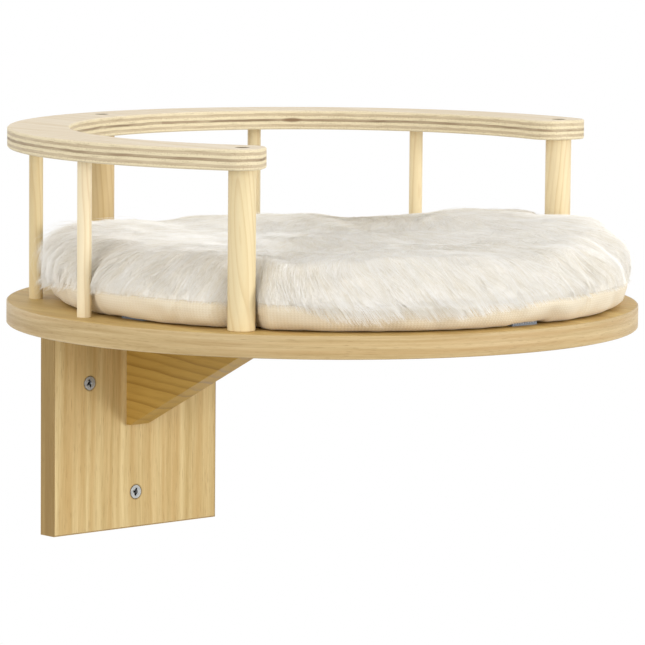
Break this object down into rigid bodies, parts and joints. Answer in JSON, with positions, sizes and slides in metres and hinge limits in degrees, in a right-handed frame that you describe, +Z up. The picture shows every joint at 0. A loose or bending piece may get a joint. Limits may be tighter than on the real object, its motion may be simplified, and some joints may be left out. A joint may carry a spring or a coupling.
{
  "type": "wall-mounted cat bed",
  "caption": "Round wall-mounted cat bed: an oak-look shelf on a wall plate and wooden bracket, with a C-shaped plywood guard rail on posts and a loose furry cushion.",
  "frame": {"origin": "middle of the wall plate's back face, on the wall", "axes": "+X to the right along the wall, +Y into the wall, +Z up; the shelf stands out towards -Y"},
  "size_m": [0.4299, 0.465, 0.2995],
  "materials": {
    "oak_foil_board": "satin oak-look foil",
    "oak_edge_band": "satin oak-look edge band",
    "bracket_pine": "bare sanded pine",
    "plywood": "bare sanded birch plywood",
    "turned_pine": "bare sanded pine",
    "zinc_steel": "bright zinc plating",
    "fibre_filling": "loose white fibre",
    "base_fabric": "short brushed pile",
    "fur_fabric": "long soft pile",
    "hook_tape": "woven tape"
  },
  "bodies": {
    "frame": {"shelf_board": "oak_foil_board", "shelf_edge_band": "oak_edge_band", "wall_plate": "oak_foil_board", "plate_edge_bands": "oak_edge_band", "bracket": "bracket_pine", "guard_rail": "plywood", "post_left_end": "turned_pine", "post_back": "turned_pine", "post_right_end": "turned_pine", "spindle_left_outer": "turned_pine", "spindle_left_inner": "turned_pine", "spindle_right_inner": "turned_pine", "spindle_right_outer": "turned_pine", "rail_screws": "zinc_steel", "post_foot_screws": "zinc_steel", "bracket_top_screws": "zinc_steel", "bracket_back_screws": "zinc_steel", "plate_top_screws": "zinc_steel", "wall_screws": "zinc_steel", "hook_pads": "hook_tape"},
    "cushion": {"cushion_filling": "fibre_filling", "cushion_base": "base_fabric", "cushion_top": "fur_fabric", "loop_pads": "hook_tape"}
  },
  "joints": [
    {"name": "cushion_lift", "type": "slide", "parent": "frame", "child": "cushion", "axis": [0, 0, 1], "range_m": [0, 0.05]}
  ]
}
